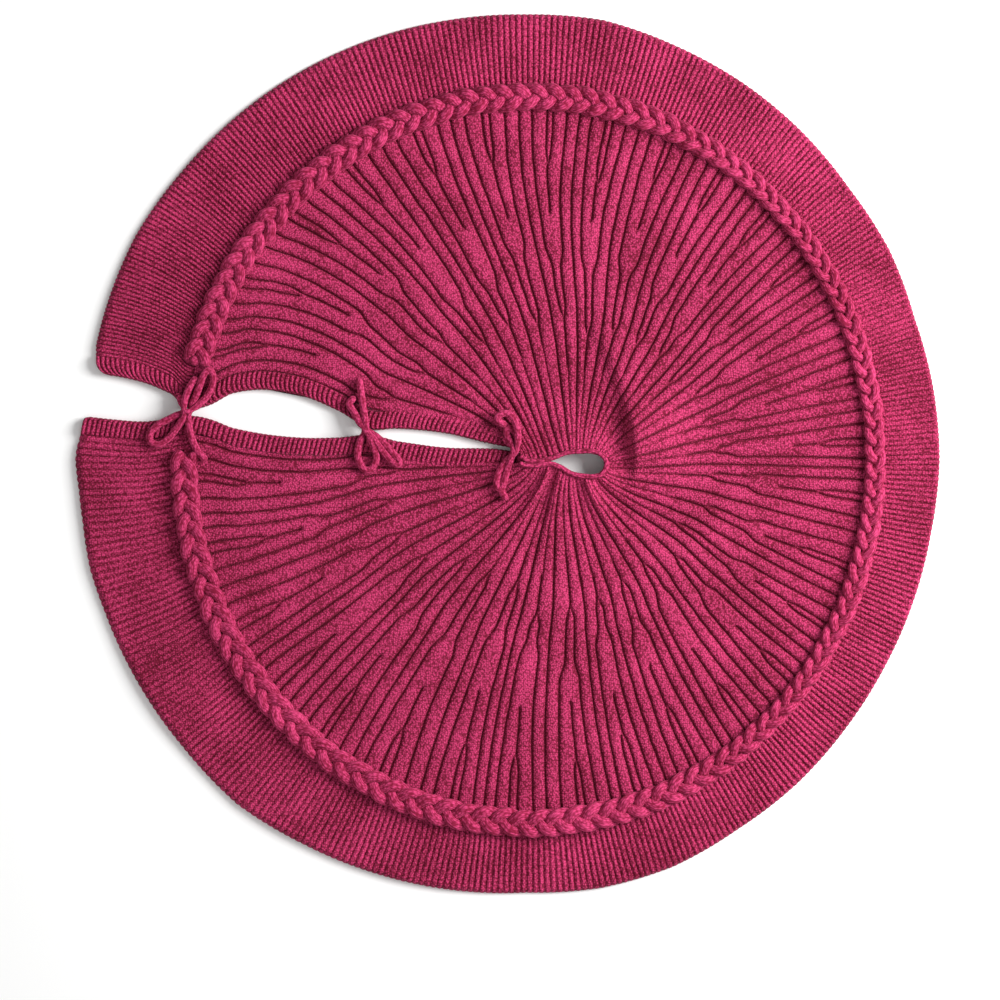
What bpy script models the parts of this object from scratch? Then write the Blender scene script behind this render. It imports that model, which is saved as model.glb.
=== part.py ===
"""Knitted tree skirt, laid flat: a ribbed panel round a neck, a plait, a border, and three bows on its slit.

Every length is in millimetres until scale() turns an object's points into metres.
+Z is up, +X points from the slit to the far side, and the skirt rests on z = 0.
"""

import math

import bmesh
import bpy

MM = 0.001

# Overall sizes
PANEL_RADIUS = 186.0      # from the skirt's centre to the seam under the plait
BORDER_WIDTH = 43.0       # from that seam to the rim
CENTRE = (8.9, -3.2)      # centre of the plait and of the rim
OVAL = 4.6                # how far the plait's ring is longer in Y than in X
PLAIT_SHIFT = 2.0         # how far the plait's ring reaches towards +X
RIM_OVAL = 1.6            # how far the rim is longer in Y than in X
SLIT_SIDE_SPREAD = 9.0    # how much wider the border lies on the slit's side
UPPER_SIDE_SPREAD = 3.3   # and on the side of the slit's upper edge

# Neck
NECK_CENTRE = (38.0, -2.0)
NECK_HALF_LENGTH = 34.0   # outer edge of the ribbed collar
NECK_HALF_WIDTH = 19.0
NECK_DRIFT = 2.4          # how late the ribs turn away from the neck
NECK_START = 10.0         # x where the slit's bands stop and the collar starts
COLLAR_HEIGHT = 7.0       # from the panel's top to the rolled hem's centre

# Fabric
PANEL_THICKNESS = 4.0
BORDER_THICKNESS = 3.6
BAND_THICKNESS = 4.2
BAND_WIDTH = 10.0
BAND_OVERLAY = 1.5        # how far the uncut panel and border run into a band's place
COLLAR_THICKNESS = 2.6
HEM_DIAMETER = 2.6
COLLAR_INSET = 0.8        # between the panel's neck edge and the collar's foot
COLLAR_FOOT = 0.2         # share of the collar's width that lies flat
GAP = 0.3                 # between pieces that touch
SEAM_DIAMETER = 0.9       # the linking yarn between panel and border

# Soft fold of the panel beside the neck
RIDGE_HEIGHT = 8.0
RIDGE_INNER_WIDTH = 6.5
RIDGE_OUTER_WIDTH = 11.0

# Plait
STRAND_DIAMETER = 2.6
PLAIT_SWING = 5.0         # each strand's sideways swing from the plait's middle
PLAIT_RISE = 2.4          # and its up-and-down swing
PLAIT_PERIOD = 27.6
PLAIT_END_UPPER = 0.022   # where the plait starts, as a share of the way round from the slit's upper edge
PLAIT_END_LOWER = 0.016

# Ties: knitted cord, as thick as where it is pulled tight
TIE_DIAMETER = 2.4
YARN_DIAMETER = 0.7       # sewing yarn of the tacks
TACK_CLEARANCE = 0.3

# Free corners of the border, which fold back beyond the outer bow:
# way out at which the fold leaves the slit, its direction in degrees, its length and the corner's depth
# as shares of the border's width
FOLDS = {
    "upper": (1.245, 129.2, 1.10, 0.68),
    "lower": (1.456, 220.2, 0.93, 0.60),
}
FOLD_AXIS_HEIGHT = BAND_THICKNESS + GAP

# Slit: (way out from the neck: 1 is the plait and 2 the rim, y of the upper edge, y of the lower edge)
SLIT = (
    (0.00, 2.5, 0.3),
    (0.10, 5.2, 2.7),
    (0.24, 11.0, 3.3),
    (0.38, 13.4, 6.6),
    (0.46, 13.3, 10.0),
    (0.55, 22.6, 8.6),
    (0.65, 30.2, 8.4),
    (0.76, 33.8, 10.2),
    (0.86, 32.0, 13.6),
    (0.93, 25.6, 18.4),
    (0.985, 24.4, 20.0),
    (1.12, 31.5, 18.8),
    (1.36, 37.3, 17.0),
    (1.64, 41.0, 18.0),
    (2.00, 42.6, 20.0),
)

# Knots: way out of each bow's middle, and its distance above the slit's middle line
KNOTS = {
    "outer": (0.9895, 0.0),
    "middle": (0.4687, 0.0),
    "inner": (0.0366, -0.7),
}

# Each tie's route, from its knot's middle and from the bands' top
TIE_ROUTES = {
    "outer_upper": (
        (-6.2, 10.4, 1.5), (-4.9, 6.4, 1.5), (-3.0, 2.2, 1.5), (-2.9, -2.0, 1.5), (-5.4, -5.6, 1.5),
        (-10.4, -7.6, 1.5), (-16.0, -9.4, 1.4), (-21.0, -12.6, 1.4), (-22.2, -17.0, 1.4), (-18.6, -19.4, 1.4),
        (-14.0, -16.8, 1.4), (-10.2, -12.4, 1.6), (-6.6, -8.6, 3.2), (-3.2, -4.4, 4.4), (-0.6, -1.2, 4.6),
        (3.0, 1.8, 4.5), (6.8, 4.2, 3.6), (10.4, 7.6, 2.0), (13.2, 11.6, 1.5), (14.6, 16.0, 1.5),
    ),
    "outer_lower": (
        (0.2, -9.5, 1.5), (0.1, -6.0, 1.5), (0.0, -2.0, 1.5), (0.0, 2.0, 1.5), (-0.7, 6.2, 1.5),
        (-0.4, 10.6, 1.5), (1.8, 14.8, 1.5), (5.4, 18.0, 1.5), (9.2, 18.4, 1.5), (10.0, 14.6, 1.5),
        (8.0, 10.6, 1.5), (5.4, 6.8, 1.5), (3.4, 3.0, 1.5), (2.9, -1.0, 1.5), (3.4, -5.6, 1.5),
        (4.6, -11.0, 1.5), (6.2, -16.0, 1.4), (8.2, -21.0, 1.4), (10.0, -25.6, 1.4),
    ),
    "middle_upper": (
        (-2.8, 10.5, 1.5), (-2.8, 6.5, 1.5), (-2.7, 2.0, 1.5), (-2.8, -2.0, 1.5), (-3.6, -6.0, 1.5),
        (-5.2, -10.6, 1.4), (-5.9, -15.2, 1.4), (-4.4, -19.8, 1.4), (-0.4, -22.2, 1.4), (3.9, -20.8, 1.4),
        (6.0, -17.2, 1.4), (5.6, -13.4, 1.4), (4.4, -9.8, 1.9), (3.1, -6.4, 3.2), (1.6, -3.0, 4.4),
        (0.0, 0.0, 4.5), (-1.8, 3.0, 4.5), (-3.9, 6.0, 4.4), (-6.3, 9.2, 3.4), (-8.9, 12.2, 2.0),
        (-10.8, 15.2, 1.6), (-9.4, 17.8, 1.6), (-6.4, 17.0, 1.6),
    ),
    "middle_lower": (
        (0.3, -8.5, 1.5), (0.3, -5.0, 1.5), (0.3, -1.0, 1.5), (0.5, 2.4, 1.5), (2.2, 4.2, 1.5),
        (3.8, 2.2, 1.5), (4.0, -1.6, 1.5), (5.8, -5.6, 1.5), (8.6, -10.0, 1.4), (11.8, -14.2, 1.4),
        (14.4, -17.2, 1.4), (17.2, -18.2, 1.4), (18.6, -15.8, 1.4), (16.2, -12.0, 1.4), (12.8, -8.2, 1.4),
        (9.6, -4.4, 1.5), (7.2, -0.6, 1.5), (5.8, 3.6, 1.5), (4.4, 8.0, 1.5), (2.8, 13.0, 1.5),
        (0.9, 18.6, 1.5), (-1.6, 24.4, 1.4), (-3.8, 29.6, 1.4),
    ),
    "inner_upper": (
        (-7.6, 8.6, 1.5), (-6.2, 5.0, 1.5), (-4.2, 1.8, 1.5), (-3.7, -2.0, 1.5), (-5.6, -6.0, 1.5),
        (-8.4, -10.2, 1.5), (-10.4, -14.6, 1.4), (-9.9, -18.6, 1.4), (-7.2, -18.8, 1.4), (-5.8, -15.6, 1.4),
        (-4.8, -12.2, 1.8), (-3.8, -9.0, 3.2), (-2.6, -5.6, 4.3), (-1.4, -2.2, 4.5), (-1.2, 1.4, 4.5),
        (-2.4, 5.0, 4.5), (-4.4, 8.8, 4.5), (-6.6, 12.6, 4.5), (-9.0, 16.0, 4.4), (-11.6, 18.6, 3.0),
    ),
    "inner_lower": (
        (2.5, -8.0, 1.5), (2.3, -4.0, 1.5), (2.0, 0.0, 1.5), (2.1, 5.0, 1.5), (2.0, 10.0, 1.5),
        (0.9, 15.0, 1.5), (-1.6, 19.4, 1.5), (-5.0, 21.2, 1.5), (-7.6, 19.0, 1.5), (-6.8, 15.4, 1.5),
        (-4.4, 12.0, 1.5), (-2.2, 8.4, 1.5), (-1.0, 4.4, 1.5), (-0.8, 0.0, 1.5), (-0.9, -4.0, 1.5),
        (-1.6, -8.4, 1.5), (-2.0, -13.0, 1.4), (-2.6, -17.8, 1.4), (-3.8, -22.2, 1.4), (-4.9, -26.4, 1.4),
    ),
}

# How finely the plain solids are divided
COLUMNS = 80
PANEL_ROWS = 12
BORDER_ROWS = 3
BAND_COLUMNS = 56
COLLAR_COLUMNS = 36
COLLAR_ROWS = 5
TIE_STEP = 3.0
CUTTER_OVERRUN = 5.0
FOLD_INNER_MARGIN = 2.0
FOLD_OUTER_MARGIN = 8.0

MAGENTA = (0.46, 0.035, 0.105)
DEEP_MAGENTA = (0.40, 0.028, 0.085)


# Curves and charts

def smooth_step(value):
    value = min(max(value, 0.0), 1.0)
    return value * value * (3.0 - 2.0 * value)


def mix(first, second, share):
    return first + (second - first) * share


def hermite(before, start, end, after, share):
    """A value between start and end on the smooth curve that also passes through before and after."""
    square = share * share
    cube = square * share
    slope_start = 0.5 * (end - before)
    slope_end = 0.5 * (after - start)
    return (
        (2.0 * cube - 3.0 * square + 1.0) * start
        + (cube - 2.0 * square + share) * slope_start
        + (3.0 * square - 2.0 * cube) * end
        + (cube - square) * slope_end
    )


def through(points, position):
    """The point at a position (0 is the first point, 1 the second) on a smooth curve through the points."""
    last = len(points) - 1
    span = min(int(position), last - 1)
    picked = [points[min(max(span + offset, 0), last)] for offset in (-1, 0, 1, 2)]
    return tuple(hermite(*values, position - span) for values in zip(*picked))


def plait_radius(angle):
    return PANEL_RADIUS - OVAL * math.cos(2.0 * angle) + PLAIT_SHIFT * math.cos(angle)


def rim_radius(angle):
    """The rim lies a border's width outside the seam, and further out on the slit's side."""
    radius = PANEL_RADIUS + BORDER_WIDTH - RIM_OVAL * math.cos(2.0 * angle)
    return radius - SLIT_SIDE_SPREAD * math.cos(angle) + UPPER_SIDE_SPREAD * math.sin(angle)


def slit_x(way):
    """x of the slit at a way out from the neck: 1 is the plait, 2 the rim."""
    plait_x = CENTRE[0] - plait_radius(math.pi)
    if way < 1.0:
        return mix(NECK_START, plait_x, way)
    return mix(plait_x, CENTRE[0] - rim_radius(math.pi), way - 1.0)


def slit_way(x):
    plait_x = slit_x(1.0)
    if x > plait_x:
        return (NECK_START - x) / (NECK_START - plait_x)
    return 1.0 + (plait_x - x) / (plait_x - slit_x(2.0))


def slit_edges(x):
    """y of the slit's upper and lower edge at x."""
    way = min(max(slit_way(x), 0.0), 2.0)
    span = 0
    while span < len(SLIT) - 2 and way > SLIT[span + 1][0]:
        span += 1
    share = (way - SLIT[span][0]) / (SLIT[span + 1][0] - SLIT[span][0])
    return through([station[1:] for station in SLIT], span + share)


def band_line(x, upper):
    """y of the line just inside a slit band where the chart starts: the band's clearance is cut from there."""
    edges = slit_edges(x)
    reach = BAND_WIDTH - BAND_OVERLAY
    return edges[0] + reach if upper else edges[1] - reach


def ring_point(angle, ring):
    """A point on a ring round the skirt: 0 is the neck, 1 the seam under the plait, 2 the rim."""
    if ring >= 1.0:
        middle = CENTRE
        radius = mix(plait_radius(angle), rim_radius(angle), ring - 1.0)
        return middle[0] + radius * math.cos(angle), middle[1] + radius * math.sin(angle)
    drift = (1.0 - ring) ** NECK_DRIFT
    middle = [mix(outer, neck, drift) for outer, neck in zip(CENTRE, NECK_CENTRE)]
    neck_x = NECK_HALF_LENGTH * math.cos(angle)
    neck_y = NECK_HALF_WIDTH * math.sin(angle)
    radius = plait_radius(angle)
    x = middle[0] + mix(neck_x, radius * math.cos(angle), ring)
    y = middle[1] + mix(neck_y, radius * math.sin(angle), ring)
    return x, y


def edge_angle(ring, upper):
    """The angle at which a ring meets the slit band's line, found by halving the interval."""
    side = 1.0 if upper else -1.0
    far = 1.2 * math.pi
    near = 0.5 * math.pi
    for _ in range(40):
        middle = 0.5 * (far + near)
        x, y = ring_point(side * middle, ring)
        if side * (y - band_line(x, upper)) > 0.0:
            near = middle
        else:
            far = middle
    return side * 0.5 * (far + near)


def chart_angle(way_round, ring, edges):
    """The angle at a share of the way round, from the upper band clockwise to the lower one.

    The slit's bend dies away from it, slowly near the neck and quickly near the rim.
    """
    reach = 0.5 - 0.3 * min(ring, 1.0)
    plain = math.pi - 2.0 * math.pi * way_round
    pull_upper = max(0.0, 1.0 - way_round / reach) ** 2
    pull_lower = max(0.0, 1.0 - (1.0 - way_round) / reach) ** 2
    return plain + (edges[0] - math.pi) * pull_upper + (edges[1] + math.pi) * pull_lower


def chart(way_round, ring, cache):
    """The plan point at a share of the way round and a ring."""
    key = round(ring, 6)
    if key not in cache:
        cache[key] = (edge_angle(ring, True), edge_angle(ring, False))
    return ring_point(chart_angle(way_round, ring, cache[key]), ring)


EDGE_ANGLES = {}


def ridge(x, y):
    """How high the panel's soft fold beside the neck lifts the fabric."""
    beyond = y + 6.0
    ridge_x = 77.9 - 0.20 * beyond - 0.0042 * beyond * beyond
    width = RIDGE_INNER_WIDTH if x < ridge_x else RIDGE_OUTER_WIDTH
    along = smooth_step((y + 34.0) / 26.0) * smooth_step((78.0 - y) / 34.0)
    return RIDGE_HEIGHT * along * math.exp(-(((x - ridge_x) / width) ** 2))


# Making objects

def fabric(name, colour):
    material = bpy.data.materials.new(name)
    material.use_nodes = True
    shader = material.node_tree.nodes["Principled BSDF"]
    shader.inputs["Base Color"].default_value = (*colour, 1.0)
    shader.inputs["Roughness"].default_value = 0.95
    shader.inputs["Metallic"].default_value = 0.0
    return material


def put(name, data, collection, colour):
    piece = bpy.data.objects.new(name, data)
    data.materials.append(fabric(name + "_knit", colour))
    collection.objects.link(piece)
    return piece


def scale(mesh):
    for vertex in mesh.vertices:
        vertex.co *= MM


def cloth(name, columns, rows, place, thickness, collection, colour):
    """A sheet of fabric: a grid laid out by place(u, v), thickened upwards."""
    mesh = bpy.data.meshes.new(name)
    grid = bmesh.new()
    bmesh.ops.create_grid(grid, x_segments=columns, y_segments=rows, size=0.5)
    for vertex in grid.verts:
        vertex.co = place(vertex.co.x + 0.5, vertex.co.y + 0.5)
    grid.to_mesh(mesh)
    grid.free()
    scale(mesh)
    piece = put(name, mesh, collection, colour)
    solidify = piece.modifiers.new("Thickness", "SOLIDIFY")
    solidify.thickness = thickness * MM
    solidify.offset = 1.0
    solidify.use_even_offset = False
    return piece


def tube(name, points, diameter, collection, colour, resolution=2):
    """A cord through points, on a poly spline with filled caps."""
    curve = bpy.data.curves.new(name, "CURVE")
    curve.dimensions = "3D"
    curve.bevel_depth = 0.5 * diameter * MM
    curve.bevel_resolution = resolution
    curve.use_fill_caps = True
    spline = curve.splines.new("POLY")
    spline.points.add(len(points) - 1)
    for slot, point in zip(spline.points, points):
        slot.co = (point[0] * MM, point[1] * MM, point[2] * MM, 1.0)
    return put(name, curve, collection, colour)


def even(points, step):
    """Points every step along a smooth curve through the route's points."""
    fine = [through(points, index / 40.0) for index in range(40 * (len(points) - 1) + 1)]
    lengths = [0.0]
    for first, second in zip(fine, fine[1:]):
        lengths.append(lengths[-1] + math.dist(first, second))
    count = max(2, round(lengths[-1] / step))
    picked = []
    index = 0
    for number in range(count + 1):
        target = lengths[-1] * number / count
        while index < len(fine) - 2 and lengths[index + 1] < target:
            index += 1
        share = (target - lengths[index]) / (lengths[index + 1] - lengths[index])
        picked.append(tuple(mix(a, b, share) for a, b in zip(fine[index], fine[index + 1])))
    return picked


def band_cutter(side, collection):
    """The room that a slit band takes from the panel and the border."""
    def place(u, v):
        x, y, _ = band_point(u, v, side == "upper", BAND_WIDTH, GAP)
        return x, y, -CUTTER_OVERRUN
    name = side + "_band_room"
    thickness = BAND_THICKNESS + RIDGE_HEIGHT + 2.0 * CUTTER_OVERRUN
    piece = cloth(name, BAND_COLUMNS, 1, place, thickness, collection, MAGENTA)
    piece.hide_render = True
    piece.display_type = "WIRE"
    return piece


def fold_frame(side):
    """A corner's fold: the middle of its line, its direction and its length."""
    way, degrees, share, _ = FOLDS[side]
    x = slit_x(way)
    y = slit_edges(x)[0 if side == "upper" else 1]
    direction = (math.cos(math.radians(degrees)), math.sin(math.radians(degrees)))
    length = share * BORDER_WIDTH
    middle = (x + 0.5 * length * direction[0], y + 0.5 * length * direction[1])
    return middle, direction, length


def fold_box(name, side, grow, collection):
    """A cutter over a border corner: its near face is the fold line, moved inwards by grow."""
    middle, along, length = fold_frame(side)
    outward = (-abs(along[1]), math.copysign(along[0], along[0] * along[1]))
    depth = FOLDS[side][3] * BORDER_WIDTH
    mesh = bpy.data.meshes.new(name)
    box = bmesh.new()
    bmesh.ops.create_cube(box, size=1.0)
    for vertex in box.verts:
        reach = -grow if vertex.co.y < 0.0 else depth
        inner = vertex.co.x < 0.0
        sideways = -0.5 * length - FOLD_INNER_MARGIN if inner else 0.5 * length + FOLD_OUTER_MARGIN
        vertex.co = (
            middle[0] + along[0] * sideways + outward[0] * reach,
            middle[1] + along[1] * sideways + outward[1] * reach,
            vertex.co.z * 60.0,
        )
    box.normal_update()
    bmesh.ops.recalc_face_normals(box, faces=box.faces)
    box.to_mesh(mesh)
    box.free()
    scale(mesh)
    piece = bpy.data.objects.new(name, mesh)
    piece.hide_render = True
    piece.display_type = "WIRE"
    collection.objects.link(piece)
    return piece


def fold_line(side, collection):
    """An empty on a corner's fold, level with the fabric's top, with its X axis along the fold."""
    middle, along, _ = fold_frame(side)
    hinge = bpy.data.objects.new(side + "_fold_line", None)
    hinge.location = (middle[0] * MM, middle[1] * MM, FOLD_AXIS_HEIGHT * MM)
    hinge.rotation_euler[2] = math.atan2(along[1], along[0])
    collection.objects.link(hinge)
    return hinge


def hang_on(piece, hinge):
    bpy.context.view_layer.update()
    piece.parent = hinge
    piece.matrix_parent_inverse = hinge.matrix_world.inverted()


def cut(piece, cutter, operation):
    boolean = piece.modifiers.new(cutter.name, "BOOLEAN")
    boolean.object = cutter
    boolean.operation = operation
    boolean.solver = "EXACT"


# The skirt's pieces

def panel_point(u, v):
    """The panel's underside: rows crowd together near the neck, where the fold is."""
    near_neck = 0.5 * (GAP / PANEL_RADIUS)
    seam = 0.5 * SEAM_DIAMETER + GAP
    ring = mix(near_neck, 1.0 - seam / PANEL_RADIUS, v ** 1.7)
    x, y = chart(u, ring, EDGE_ANGLES)
    return x, y, ridge(x, y)


def border_point(u, v):
    seam = (0.5 * SEAM_DIAMETER + GAP) / BORDER_WIDTH
    x, y = chart(u, mix(1.0 + seam, 2.0, v), EDGE_ANGLES)
    return x, y, 0.0


def band_point(u, v, upper, reach, lengthen):
    """A slit band, from the rim (u = 0) to the neck; v runs across it, reach is its width."""
    across = v if upper else v - 1.0
    share = abs(across)
    neck_x = mix(NECK_START, neck_meeting(upper), share) + lengthen
    rim_x = rim_meeting(upper, share * reach) - lengthen
    x = mix(rim_x, neck_x, u)
    edge = slit_edges(x)[0 if upper else 1]
    return x, edge + across * reach, 0.0


def neck_meeting(upper):
    """x where a band's outer line meets the collar."""
    return ring_point(edge_angle(0.0, upper), 0.0)[0]


def rim_meeting(upper, offset):
    """x where a line at an offset from the slit's edge meets the rim."""
    x = slit_x(2.0)
    for _ in range(12):
        edges = slit_edges(x)
        y = edges[0] + offset if upper else edges[1] - offset
        angle = math.atan2(y - CENTRE[1], x - CENTRE[0])
        x = CENTRE[0] + rim_radius(angle) * math.cos(angle)
    return x


# The hem's line round the neck opening from the neck's centre, clockwise from the slit's upper edge back to its lower
HEM = (
    (-26.4, 4.3), (-21.0, 2.4), (-14.0, -0.2), (-7.5, 0.8), (-1.0, 1.8), (5.0, 0.6), (9.8, -2.6),
    (9.6, -5.4), (5.0, -8.2), (-1.0, -8.9), (-7.5, -7.6), (-14.0, -4.4), (-21.0, -1.4), (-26.4, 0.4),
)


def hem_point(share):
    x, y = through(HEM, share * (len(HEM) - 1))
    return NECK_CENTRE[0] + x, NECK_CENTRE[1] + y


def collar_outer(share):
    """The collar's foot, along the neck ring from the upper band to the lower one."""
    first = edge_angle(0.0, True)
    last = edge_angle(0.0, False)
    angle = mix(first, last, share)
    x, y = ring_point(angle, 0.0)
    middle = NECK_CENTRE
    inset = 1.0 - COLLAR_INSET / NECK_HALF_WIDTH
    return mix(middle[0], x, inset), mix(middle[1], y, inset)


def collar_point(u, v):
    """The collar's underside, from the hem (v = 0) down to its foot (v = 1)."""
    foot = collar_outer(u)
    hem = hem_point(u)
    clearance = (0.5 * HEM_DIAMETER + 3.0 * GAP) / math.dist(foot, hem)
    across = mix(clearance, 1.0, v)
    height = PANEL_THICKNESS + COLLAR_HEIGHT - 0.5 * COLLAR_THICKNESS
    rise = height * smooth_step(1.0 - v / (1.0 - COLLAR_FOOT))
    return mix(hem[0], foot[0], across), mix(hem[1], foot[1], across), rise


def plait_strand(phase):
    """One strand: it swings sideways once and up and down twice in each period."""
    ring = 1.0
    low = PANEL_THICKNESS + GAP + PLAIT_RISE + 0.5 * STRAND_DIAMETER
    stations = 2000
    shares = [
        mix(PLAIT_END_UPPER, 1.0 - PLAIT_END_LOWER, index / stations)
        for index in range(stations + 1)
    ]
    line = [chart(share, ring, EDGE_ANGLES) for share in shares]
    total = sum(math.dist(first, second) for first, second in zip(line, line[1:]))
    samples = 6 * round(total / PLAIT_PERIOD) + 1
    points = []
    for index in range(samples):
        position = index / (samples - 1) * stations
        span = min(int(position), stations - 1)
        x, y = (mix(a, b, position - span) for a, b in zip(line[span], line[span + 1]))
        turn = math.pi / 6.0 + index * math.pi / 3.0 + phase
        away = math.atan2(y - CENTRE[1], x - CENTRE[0])
        side = PLAIT_SWING * math.sin(turn)
        height = low + PLAIT_RISE * math.sin(2.0 * turn)
        points.append((x + side * math.cos(away), y + side * math.sin(away), height))
    return points


def arch(middle, direction, half_width, height, foot):
    """A stitch over a cord: an arch across direction, its feet at height foot."""
    length = math.hypot(*direction)
    across = (-direction[1] / length, direction[0] / length)
    points = []
    for index in range(9):
        turn = math.pi * index / 8.0
        side = half_width * math.cos(turn)
        rise = height * math.sin(turn) ** 0.8
        points.append((middle[0] + across[0] * side, middle[1] + across[1] * side, foot + rise))
    return points


def tie_points(name):
    way, lift = KNOTS[name.split("_")[0]]
    knot_x = slit_x(way)
    knot_y = 0.5 * sum(slit_edges(knot_x)) + lift
    base = max(BAND_THICKNESS, PANEL_THICKNESS)
    return [(knot_x + x, knot_y + y, base + z) for x, y, z in TIE_ROUTES[name]]


def clear_scene():
    for piece in list(bpy.data.objects):
        bpy.data.objects.remove(piece)


def build():
    clear_scene()
    skirt = bpy.data.collections.new("tree_skirt")
    cutters = bpy.data.collections.new("cutters")
    bpy.context.scene.collection.children.link(skirt)
    bpy.context.scene.collection.children.link(cutters)

    zones = {side: fold_box(side + "_corner_zone", side, 0.0, cutters) for side in FOLDS}
    cleared = {side: fold_box(side + "_corner_clear", side, GAP, cutters) for side in FOLDS}
    rooms = {side: band_cutter(side, cutters) for side in FOLDS}
    hinges = {side: fold_line(side, skirt) for side in FOLDS}

    panel = cloth("inner_panel", COLUMNS, PANEL_ROWS, panel_point, PANEL_THICKNESS, skirt, MAGENTA)
    border = cloth("border_band", COLUMNS, BORDER_ROWS, border_point, BORDER_THICKNESS, skirt, DEEP_MAGENTA)
    for side in FOLDS:
        cut(panel, rooms[side], "DIFFERENCE")
        cut(border, rooms[side], "DIFFERENCE")
        cut(border, cleared[side], "DIFFERENCE")
    for side in FOLDS:
        name = "border_corner_" + side
        corner = cloth(name, COLUMNS, BORDER_ROWS, border_point, BORDER_THICKNESS, skirt, DEEP_MAGENTA)
        cut(corner, rooms[side], "DIFFERENCE")
        cut(corner, zones[side], "INTERSECT")
        hang_on(corner, hinges[side])

    for side in FOLDS:
        def place(u, v, upper=side == "upper"):
            return band_point(u, v, upper, BAND_WIDTH - GAP, 0.0)
        band = cloth("slit_band_" + side, BAND_COLUMNS, 1, place, BAND_THICKNESS, skirt, MAGENTA)
        cut(band, cleared[side], "DIFFERENCE")
        end = cloth("slit_band_end_" + side, BAND_COLUMNS, 1, place, BAND_THICKNESS, skirt, MAGENTA)
        cut(end, zones[side], "INTERSECT")
        hang_on(end, hinges[side])

    cloth("neck_collar", COLLAR_COLUMNS, COLLAR_ROWS, collar_point, COLLAR_THICKNESS, skirt, MAGENTA)
    hem_height = PANEL_THICKNESS + COLLAR_HEIGHT
    hem = [(*hem_point(index / 48.0), hem_height) for index in range(49)]
    tube("neck_hem", hem, HEM_DIAMETER, skirt, MAGENTA)

    seam_end = (BAND_OVERLAY + 2.0 * SEAM_DIAMETER) / (2.0 * math.pi * PANEL_RADIUS)
    shares = [seam_end] + [index / COLUMNS for index in range(1, COLUMNS)] + [1.0 - seam_end]
    seam = [(*chart(share, 1.0, EDGE_ANGLES), 0.5 * PANEL_THICKNESS) for share in shares]
    tube("border_seam_yarn", seam, SEAM_DIAMETER, skirt, DEEP_MAGENTA, resolution=0)

    for number in range(3):
        strand = plait_strand(number * 2.0 * math.pi / 3.0)
        tube(f"plait_strand_{number + 1}", strand, STRAND_DIAMETER, skirt, MAGENTA, resolution=0)

    for name in TIE_ROUTES:
        points = tie_points(name)
        tube("tie_" + name, even(points, TIE_STEP), TIE_DIAMETER, skirt, MAGENTA)
        start = points[0]
        direction = (points[1][0] - start[0], points[1][1] - start[1])
        inner = 0.5 * TIE_DIAMETER + TACK_CLEARANCE + 0.5 * YARN_DIAMETER
        middle = (start[0] + 0.35 * direction[0], start[1] + 0.35 * direction[1])
        foot = BAND_THICKNESS + 0.05 + 0.5 * YARN_DIAMETER
        height = start[2] + inner - foot
        tube("tack_" + name, arch(middle, direction, inner, height, foot), YARN_DIAMETER, skirt, DEEP_MAGENTA)


build()
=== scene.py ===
"""Looks of the knitted tree skirt: its ribs, stitches, plait, bows, materials, light and camera.

Lengths are in millimetres until to_mesh() turns points into metres.
"""

import math

import bmesh
import bpy
import numpy as np
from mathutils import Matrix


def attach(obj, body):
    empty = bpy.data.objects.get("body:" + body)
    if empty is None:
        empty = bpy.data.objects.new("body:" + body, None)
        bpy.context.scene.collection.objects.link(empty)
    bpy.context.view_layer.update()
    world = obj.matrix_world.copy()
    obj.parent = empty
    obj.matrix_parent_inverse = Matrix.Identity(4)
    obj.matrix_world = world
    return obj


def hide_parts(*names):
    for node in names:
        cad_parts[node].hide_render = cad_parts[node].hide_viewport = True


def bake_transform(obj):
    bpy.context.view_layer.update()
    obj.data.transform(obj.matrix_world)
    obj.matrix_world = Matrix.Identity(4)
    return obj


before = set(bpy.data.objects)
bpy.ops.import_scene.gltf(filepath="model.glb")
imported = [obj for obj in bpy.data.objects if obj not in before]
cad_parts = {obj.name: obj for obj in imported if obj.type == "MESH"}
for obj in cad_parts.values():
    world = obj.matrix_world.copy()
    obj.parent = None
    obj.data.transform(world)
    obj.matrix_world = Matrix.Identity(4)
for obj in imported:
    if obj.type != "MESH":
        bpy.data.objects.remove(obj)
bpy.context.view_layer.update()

MM = 0.001
TURN = 2.0 * math.pi
FLOOR_GAP = 0.05

# The solids' sizes, which the visible fabric follows
PANEL_RADIUS = 186.0
BORDER_WIDTH = 43.0
CENTRE = (8.9, -3.2)
OVAL = 4.6
PLAIT_SHIFT = 2.0
RIM_OVAL = 1.6
SLIT_SIDE_SPREAD = 9.0
UPPER_SIDE_SPREAD = 3.3
NECK_CENTRE = (38.0, -2.0)
NECK_HALF_LENGTH = 34.0
NECK_HALF_WIDTH = 19.0
NECK_DRIFT = 2.4
NECK_START = 10.0
COLLAR_HEIGHT = 7.0
PANEL_THICKNESS = 4.0
BORDER_THICKNESS = 3.6
BAND_THICKNESS = 4.2
BAND_WIDTH = 10.0
RIDGE_HEIGHT = 11.5
RIDGE_LOW = 3.4
RIDGE_INNER_WIDTH = 5.5
RIDGE_OUTER_WIDTH = 24.0
PLAIT_SWING = 5.0
PLAIT_RISE = 1.7
PLAIT_END_UPPER = 0.017
PLAIT_END_LOWER = 0.007
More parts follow.
